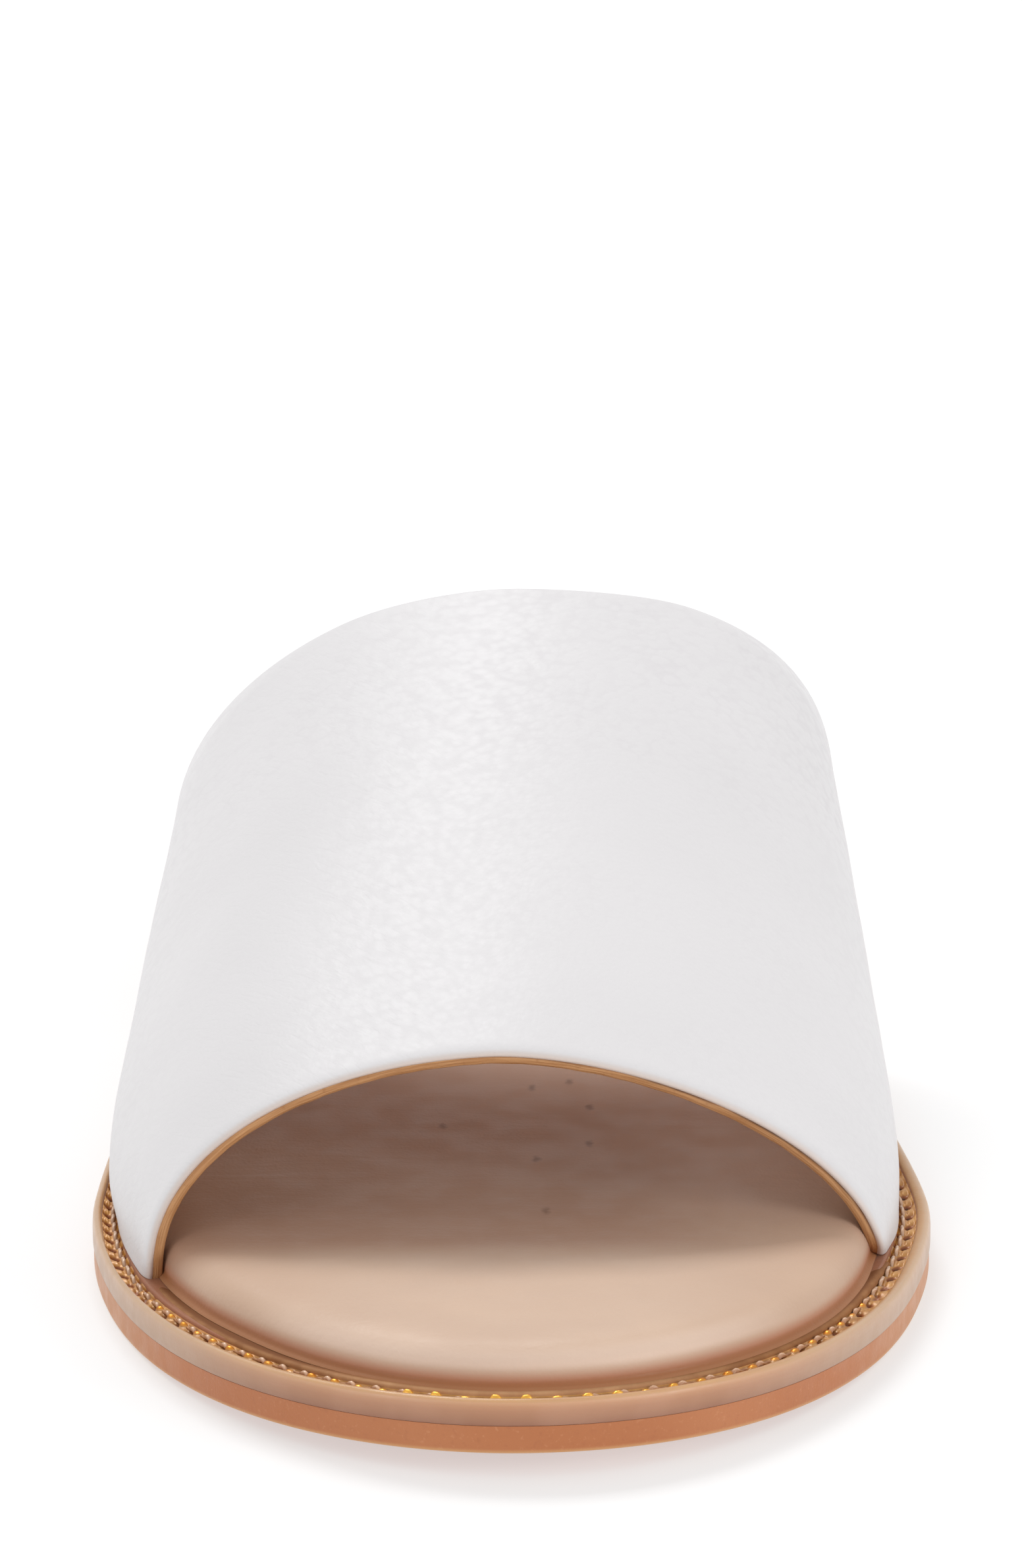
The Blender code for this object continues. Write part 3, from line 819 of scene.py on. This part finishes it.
def make_amber_rand(ring, phase):
    """Amber strip in the channel. Along the sides it is ribbed against the rim and has a row of awl holes on
    both sides of the thread; round the toe domes painted bright gold as painted glints stand between the
    stitches."""
    count = len(ring.points)
    around = phase[:-1]
    distance = ring.points[:, 1]
    medial = ring.points[:, 0] > 0
    facing = np.where(ring.points[:, 0] < 0, -1.0, 1.0)
    side, tip = stitch_zones(distance)
    toe = 1 - side
    present = 0.85 + 0.8 * np.array([noise.noise(Vector((math.floor(step) * 1.37, 5.2, 0.0)))
                                     for step in around])
    dome_inset = 2.96 - 0.9 * tip
    dome_height = toe * (0.5 + 0.46 * tip) * np.clip(present, 0.4, 1.0)
    profile, pits, glint_rows = [], [], []
    for inset in AMBER_INSETS:
        slant = facing * (inset - 1.9) * 0.38
        strip = smooth_step(inset, 1.22, 1.45) * (1 - smooth_step(inset, 2.15, 2.5))
        rib = strip * (0.5 + 0.5 * np.cos(2 * math.pi * (around + slant)))
        slot = strip * spot(near(around + slant, 0.5), 0.5) * np.where(medial, 0.25, 0.62)
        outer = spot(near(around, 0.5 - facing * 0.12), 0.6) * spot(inset - 2.3, 0.4)
        inner = spot(near(around, 0.5), 0.5) * spot(inset - 3.44, 0.2)
        beside = spot(near(around, 0.5 + facing * 0.2), 0.42) * spot(inset - 2.5, 0.5)
        # pit sinks the strip and also marks where painted shade darkens the holes and slots.
        pit = np.clip((outer + inner + slot) * side + beside * toe * (1 - 0.8 * tip), 0, 1)
        dome = spot(near(around, 0.5), 0.55 + 0.15 * tip, 4) * spot(inset - dome_inset, 0.42, 4)
        pit = pit * (1 - dome * toe)
        lip = 0.35 * smooth_step(inset, 3.36, 3.56) * toe
        base = AMBER_BASE + 0.34 * smooth_step(inset, 3.3, 3.62) + 0.26 * (1 - smooth_step(inset, 1.24, 1.6))
        rib = rib * (RIB_HEIGHT + 0.08 * side * (1 - 0.8 * medial))
        height = base + rib - PIT_DEPTH * pit + dome_height * dome
        profile.append((channel_inset(inset, ring), height))
        pits.append(pit)
        # Mask of the painted glints: the domes round the toe and the strip's inner lip there.
        glint_rows.append(np.clip(dome * toe * np.clip(present, 0.35, 1.0) + lip, 0, 1))
    profile += [(channel_inset(inset, ring), height) for inset, height in AMBER_FOOT]
    rows = ring_rows(ring, profile, welt_base)
    width = AMBER_INSETS[-1] - AMBER_INSETS[0]
    along = np.concatenate([AMBER_INSETS - AMBER_INSETS[0], width + np.array([1.0, 3.5, 4.0])])
    faces, corners = grid(len(rows), count, ring.run, along, closed_rows=True, closed_columns=True)
    blank = np.zeros((len(AMBER_FOOT), count))
    tones = {"pit": np.vstack([pits, blank]), "glint_mask": np.vstack([glint_rows, blank]),
             "side": np.tile(side, (len(rows), 1))}
    make_object("welt_amber_rand", rows, [faces], amber_look(), corners, tones, sharp=80)


THREAD_INSET = 3.02
THREAD_BASE = 1.72
THREAD_ARCH = 0.72
THREAD_RADIUS = 0.24
THREAD_GIRTH = 2.2
THREAD_STEPS = 15
THREAD_SIDES = 8


def tube(path, radius, sides, first):
    """Points, side faces, end faces and texture coordinates of a closed tube round a path; first numbers its
    first point."""
    forward = unit(np.gradient(path, axis=0))
    side = unit(np.cross(forward, (0.0, 0.0, 1.0)))
    up = np.cross(side, forward)
    turn = np.arange(sides) / sides * 2 * math.pi
    ring = side[:, None] * np.cos(turn)[None, :, None] + up[:, None] * np.sin(turn)[None, :, None]
    points = path[:, None] + ring * np.reshape(radius, (-1, 1, 1))
    faces, corners = grid(len(path), sides, np.linspace(0, THREAD_GIRTH, sides + 1),
                          np.linspace(0, STITCH_PITCH, len(path)), closed_columns=True)
    last = first + (len(path) - 1) * sides
    ends = [list(range(start, start + sides)) for start in (first, last)]
    return points.reshape(-1, 3), faces + first, ends, corners


def make_thread(ring, phase, stitches):
    """Row of stitches, each a low arch between two awl holes; round the toe it is thicker near its front end,
    which is painted paler as a painted highlight."""
    count = len(ring.points)
    size = THREAD_STEPS * THREAD_SIDES
    share = np.linspace(0.0, 1.0, THREAD_STEPS)
    points, faces, ends, corners, head_highlights, tails = [], [], [], [], [], []
    for stitch in range(stitches):
        at = np.interp((stitch + 0.5 + share) % stitches, phase, np.arange(count + 1)) % count
        low = np.floor(at).astype(int) % count
        part = (at - np.floor(at))[:, None]
        place = ring.points[low] * (1 - part) + ring.points[(low + 1) % count] * part
        inward = unit(ring.inward[low] * (1 - part) + ring.inward[(low + 1) % count] * part)
        front = 1 - share if place[THREAD_STEPS // 2, 0] > 0 else share
        wander = 0.05 * noise.noise(Vector((stitch * 1.7, 0.3, 0.0)))
        inset = channel_inset(THREAD_INSET + wander, Ring(place, inward, 0)) + 0.12 - 0.24 * front
        place = place + inward * inset[:, None]
        side, tip = stitch_zones(place[THREAD_STEPS // 2, 1])
        arch = np.sin(math.pi * share)
        bulge = spot(front - 0.74, 0.15) * (1 - 0.9 * tip)
        height = THREAD_BASE + THREAD_ARCH * arch ** 0.5 * (side + (1 - side) * (0.62 + 0.38 * bulge))
        height += 0.10 * bulge - 0.12 * tip
        path = to_frame(place[:, 0], place[:, 1], welt_base(place[:, 1]) + height)
        radius = (THREAD_RADIUS + 0.1 * bulge * (1 - 0.8 * side)) * (0.35 + 0.65 * arch ** 0.4)
        body, quads, caps, texture = tube(path, radius * MM, THREAD_SIDES, len(points) * size)
        points.append(body)
        faces.append(quads)
        ends += caps
        corners.append(texture)
        # The painted highlight on the thick front end of each stitch.
        head_highlights.append(np.repeat(bulge * (1 - 0.5 * side), THREAD_SIDES))
        tails.append(np.full(size, max(side, 0.35 * tip)))
    tones = {"head_highlight": np.concatenate(head_highlights), "side": np.concatenate(tails)}
    make_object("welt_thread", np.vstack(points), [np.vstack(faces)] + ends, thread_look(),
                np.concatenate(corners), tones, sharp=180)


LEDGE_FOOT = 2.4
LEDGE_PROFILE = (
    (3.55, 2.36), (3.59, 2.60), (3.66, 2.76), (3.78, 2.86), (3.94, 2.92), (4.15, 2.95), (4.35, 2.96),
    (4.55, 2.95), (4.75, 2.92), (4.95, 2.89), (5.20, 2.88), (5.6, 2.89), (7.2, 2.89), (7.2, 2.60),
    (4.4, 2.36),
)


def make_ledge(ring, first, last, name):
    """Brown ledge, one low rounded step beside the insole, that sinks at both ends; first and last are the
    numbers of its end points on the ring."""
    column = np.arange(first, last) % len(ring.points)
    width = len(column)
    part = Ring(ring.points[column], ring.inward[column], ring.run[:width])
    from_end = np.minimum(np.arange(width), np.arange(width)[::-1])
    share = 0.4 + 0.6 * smooth_step(from_end, 0.0, 12.0)
    profile = [(inset, LEDGE_FOOT + (height - LEDGE_FOOT) * share) for inset, height in LEDGE_PROFILE]
    rows = ring_rows(part, profile, welt_base)
    # Painted shade on the inner part of the ledge, beside the insole.
    dark = by_row([smooth_step(inset, 3.9, 4.5) for inset, height in LEDGE_PROFILE], width)
    make_strip(name, rows, part.run, np.arange(len(rows) + 1) * 0.2, ledge_look(),
               {"dark": dark})


def make_ledges(ring):
    """The ledge in front of the band and the one behind it."""
    distance = ring.points[:, 1]
    lateral = ring.points[:, 0] < 0
    medial_front = int(np.argmax(distance > BAND_FRONT["medial"] + 1.0))
    medial_rear = int(np.argmax(distance > BAND_REAR_FOOT - 1.0))
    lateral_rear = int(np.argmax(lateral & (distance < BAND_REAR_FOOT - 1.0)))
    lateral_front = int(np.argmax(lateral & (distance < BAND_FRONT["lateral"] + 0.6)))
    make_ledge(ring, lateral_front - len(ring.points), medial_front, "welt_ledge_front")
    make_ledge(ring, medial_rear, lateral_rear, "welt_ledge_rear")


# ---- insole ----
INSOLE_PROFILE = (
    (-0.70, -0.26), (-0.54, -0.10), (-0.38, 0.00), (-0.22, 0.12), (-0.09, 0.28), (-0.01, 0.55),
    (0.01, 0.90), (0.06, 1.35), (0.18, 1.90), (0.38, 2.50), (0.68, 3.06), (1.10, 3.60), (1.68, 4.06),
    (2.45, 4.43), (3.45, 4.72), (4.8, 4.92), (6.6, 5.04), (9.5, 5.14), (14.0, 5.25),
)


def make_insole():
    """Padded insole with a rolled edge, slightly uneven on top as foam under thin leather is. It leaves more
    of the ledge bare at the lateral front."""
    ring = outline(1000)
    insets = by_side(INSET, ring.points)
    profile = [(insets + inset, height) for inset, height in INSOLE_PROFILE]
    rows = ring_rows(ring, profile, lambda distance: lift(distance) + INSOLE_BASE)
    rise = by_row(run_along(INSOLE_PROFILE), len(ring.points))
    # The foot of the raised heel is as uneven as the top.
    rise[0, rows[0, :, 2] > (INSOLE_BASE + 3) * MM] = rise[-1, 0]
    piece = capped_solid("insole_pad", rows, insole_look(), ring, INSOLE_PROFILE,
                         steps=(1, 60), tones={"rise": rise}, sharp=70)
    for vertex, tone in zip(piece.data.vertices, piece.data.attributes["rise"].data):
        place = vertex.co / MM
        uneven_rise = 0.22 * noise.noise(place / 24) + 0.05 * noise.noise(place / 9)
        vertex.co.z += float(smooth_step(tone.value, 5.0, 17.0)) * uneven_rise * MM
    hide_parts("insole")


# ---- band ----
BAND_COLUMNS = 360
BAND_ROWS = 124
# Depths under the band's outer face: the leather's back, and the lining's two sides.
LEATHER_BACK = EDGE_ROLL_DEPTH + 0.25
LINING_BACK = 1.25
LINING_FACE = 1.85
# Angles at which the leather and the edge paint have a row as they turn round the band's edges.
LEATHER_TURN = np.radians((82, 73, 64, 55, 46, 37, 28, 19, 10, 0, -12, -24))
PAINT_TURN = np.radians((90, 74, 58, 44, 30, 16, 2, -12, -26, -40, -56, -73, -90))


def band_foot(distance, side):
    step = 0.5
    slope = (half_width(distance + step, side) - half_width(distance - step, side)) / (2 * step)
    return half_width(distance, side) - BAND_FOOT_INSET[side] * np.hypot(1.0, slope)


def band_half(side, part):
    """One side of the band's outer face at part of its length, from its foot to the crown, closely spaced."""
    sign = SIDE_SIGN[side]
    turn = np.linspace(0, math.pi / 2, 90)
    slant = (BAND_FRONT["medial"] - BAND_FRONT["lateral"]) / (2 * BAND_HALF_WIDTH)
    middle = (BAND_FRONT["lateral"] + BAND_FRONT["medial"]) / 2
    across = np.full_like(turn, sign * BAND_HALF_WIDTH)
    for _ in range(6):
        front = middle + slant * across
        rear = BAND_REAR_CROWN + (BAND_REAR_FOOT - BAND_REAR_CROWN) * np.cos(turn) ** 2
        distance = front + (rear - front) * part
        row = {name: interpolate(BAND, name, distance / LENGTH)
               for name in ("ridge", side, "crown", "widest", side + "_fullness", side + "_shoulder")}
        ridge = HALF_BALL * row["ridge"]
        wide = HALF_BALL * row[side]
        across = ridge + sign * (wide - sign * ridge) * np.cos(turn) ** (2 / row[side + "_fullness"])
    crown = INSTEP_HEIGHT * row["crown"]
    widest = np.maximum(INSTEP_HEIGHT * row["widest"], lift(distance) + INSOLE_BASE + TUCK_RISE)
    height = widest + (crown - widest) * np.sin(turn) ** (2 / row[side + "_shoulder"])
    base = lift(distance[0]) + BED_HEIGHT + 0.05
    foot = band_foot(distance[:1], side)[0]
    rise = np.linspace(0, 1, 16)[:-1]
    width = abs(across[0]) - (abs(across[0]) - foot) * (1 - rise) ** 2
    tuck = np.column_stack([sign * width, np.full_like(rise, distance[0]), base + (height[0] - base) * rise])
    side_points = np.vstack([tuck, np.column_stack([across, distance, height])])
    low = 1 - np.clip((side_points[:, 2] - base) / CORNER_HEIGHT, 0, 1)
    side_points[:, 1] += CORNER_SETBACK[side] * low ** 2 * (1 - smooth_step(part, 0.0, 0.12))
    return side_points


def resample(points, count):
    run = run_along(points)
    at = np.linspace(0, run[-1], count)
    return np.column_stack([np.interp(at, run, points[:, axis]) for axis in range(3)])


def band_sheet(parts):
    """The band's outer face as a grid in millimetres: rows from the front edge to the rear, columns from
    the lateral foot over the crown to the medial foot."""
    rows = []
    for part in parts:
        lateral = band_half("lateral", part)
        medial = band_half("medial", part)
        rows.append(resample(np.vstack([lateral, medial[-2::-1]]), BAND_COLUMNS))
    return np.array(rows) - (0, LENGTH / 2, 0)


def roll(points, normals, forward, reach, depth, middle_depth, angles):
    """Rows that turn round an edge along an ellipse, reach long from the edge and depth across."""
    middle = points - normals * middle_depth - forward * reach
    return [middle + normals * depth * math.sin(angle) + forward * reach * math.cos(angle)
            for angle in angles]


def softened(points, passes):
    """Rows smoothed a little between their fixed ends, which takes out the sections' small kinks."""
    points = points.copy()
    for _ in range(passes):
        points[:, 1:-1] += 0.5 * ((points[:, :-2] + points[:, 2:]) / 2 - points[:, 1:-1])
    return points


def uneven(points, normals, *layers):
    """Points moved along their normals by slow noise: (size, depth) pairs in millimetres."""
    flat = points.reshape(-1, 3)
    offsets = np.zeros(len(flat))
    for size, depth in layers:
        offsets += [depth * noise.noise(Vector(point) / size) for point in flat]
    return points + normals * offsets.reshape(points.shape[:-1])[..., None]


def row_runs(rows):
    """Distance along the middle column, from row to row of a closed loop."""
    middle = rows[:, rows.shape[1] // 2]
    return run_along(np.vstack([middle, middle[:1]]))


def make_band():
    """White leather rolled round both edges, lining leather, and the painted edge between them."""
    parts = np.linspace(FRONT_ROLL_SHARE, 1 - REAR_ROLL_SHARE, BAND_ROWS)
    points = softened(band_sheet([0.0, *parts, 1.0]), 14)
    normals = unit(np.cross(np.gradient(points, axis=1), np.gradient(points, axis=0)))
    ends = {"front": (points[0], normals[1], points[0] - points[1]),
            "rear": (points[-1], normals[-2], points[-1] - points[-2])}
    arch = np.linalg.norm(np.diff(points[60], axis=0), axis=1).sum()
    across = np.arange(BAND_COLUMNS) / (BAND_COLUMNS - 1) * arch
    inside = points[1:-1]
    out = normals[1:-1]

    from_edge = np.minimum(np.arange(len(inside)), np.arange(len(inside))[::-1]) * 0.85
    calm = smooth_step(from_edge, 0.0, 6.0)[:, None, None]
    face = inside + (uneven(inside, out, (11.0, 0.07), (4.5, 0.02)) - inside) * calm
    under = inside[::6] - out[::6] * LEATHER_BACK
    turned = {}
    for name, (edge, normal, onward) in ends.items():
        reach = np.linalg.norm(onward, axis=1, keepdims=True)
        turned[name] = roll(edge, normal, unit(onward), reach, EDGE_ROLL_DEPTH, EDGE_ROLL_DEPTH, LEATHER_TURN)
    rows = np.array(list(face[::-1]) + turned["front"] + list(under) + turned["rear"][::-1])
    run = row_runs(rows)
    behind = run[len(face) - 1] - run
    behind[-len(LEATHER_TURN) - 1:] += run[-1]
    white = make_strip("upper_leather", rows * MM, across, behind, white_look())
    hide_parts("upper_band")

    inner = uneven(inside - out * LINING_FACE, out, (16.0, 0.12), (6.0, 0.05))
    back = inside[::6] - out[::6] * LINING_BACK
    rows = np.array(list(inner) + list(back[::-1]))
    make_strip("upper_lining", rows * MM, across, row_runs(rows), lining_look())

    look = edge_look()
    thick = (EDGE_PAINT_DEPTH - EDGE_ROLL_DEPTH + 0.12) / 2
    for name, (edge, normal, onward) in ends.items():
        onward = unit(onward)
        wave = np.array([0.10 * noise.noise(Vector(point) / 2.2) for point in edge]) - 0.12
        wavy = edge + onward * wave[:, None]
        loop = roll(wavy, normal, onward, 0.45, thick, EDGE_PAINT_DEPTH - thick, PAINT_TURN)
        loop += [edge - normal * depth - onward * 1.5 for depth in (EDGE_PAINT_DEPTH, 1.0)]
        rows = np.array(loop)
        make_strip("upper_edge_" + name, rows * MM, across, row_runs(rows), look)


# ---- stage, in metres ----
FLOOR_REACH = 15.0
FLOOR_HEIGHT = -0.00002
LIGHT_TARGET = (0.0, 0.0, 0.02)
WORLD_STRENGTH = 0.69


def make_floor():
    data = bpy.data.meshes.new("floor")
    signs = ((-1, -1), (1, -1), (1, 1), (-1, 1))
    data.from_pydata([(x * FLOOR_REACH, y * FLOOR_REACH, FLOOR_HEIGHT) for x, y in signs], [], [(0, 1, 2, 3)])
    look = Look("glowing floor", 0.8, Specular_IOR_Level=0.1, Emission_Color=(1.0, 1.0, 1.0, 1.0))
    place = look.place()
    look.paint((177.06,) * 3, (look.noise(place, 400.0), (180.63,) * 3))
    away = look.node("VectorMath", {0: place}, operation="LENGTH").outputs["Value"]
    # The floor glows: painted light that lifts the shadows on it, glowing more away from the shoe.
    look.set("Emission Strength", look.between(away, 260.0, 900.0, 0.5, 0.74))
    data.materials.append(look.material)
    add_object("floor", data)


def make_light(name, size, power, place):
    data = bpy.data.lights.new(name, "AREA")
    data.shape = "RECTANGLE"
    data.size, data.size_y = size
    data.energy = power
    light = add_object(name, data)
    light.location = place
    light.rotation_euler = (Vector(LIGHT_TARGET) - Vector(place)).to_track_quat("-Z", "Y").to_euler()


def make_lights():
    world = bpy.data.worlds.new("studio")
    world.use_nodes = True
    background = world.node_tree.nodes["Background"]
    background.inputs["Color"].default_value = (1.0, 1.0, 1.0, 1.0)
    background.inputs["Strength"].default_value = WORLD_STRENGTH
    bpy.context.scene.world = world
    make_light("softbox behind the heel", (0.7, 0.36), 8.8, (-0.26, 0.69, 1.08))
    make_light("lateral fill", (0.8, 0.5), 3.9, (-1.25, -1.0, 0.42))
    make_light("medial fill", (0.8, 0.6), 8.9, (1.35, -0.85, 0.52))
    bpy.context.scene.view_settings.view_transform = "Standard"


def make_camera():
    """Portrait lens 16 degrees above the toe, level across."""
    tilt = math.radians(16)
    reach = 776.0
    aim = 81.107
    data = bpy.data.cameras.new("camera")
    data.sensor_width = 36.0
    data.lens = 163.36
    data.clip_end = 50.0
    camera = add_object("camera", data)
    camera.location = Vector((0, -LENGTH / 2 - reach * math.cos(tilt), aim + reach * math.sin(tilt))) * MM
    camera.rotation_euler = (math.pi / 2 - tilt, 0, 0)
    bpy.context.scene.camera = camera


def build():
    make_camera()
    make_outsole(outsole_look(), tread_look())
    make_welt()
    groove = outline(2600)
    phase, stitches = stitch_phase(groove)
    make_amber_rand(groove, phase)
    make_thread(groove, phase, stitches)
    make_ledges(outline(1200))
    make_insole()
    make_band()
    make_floor()
    make_lights()


build()
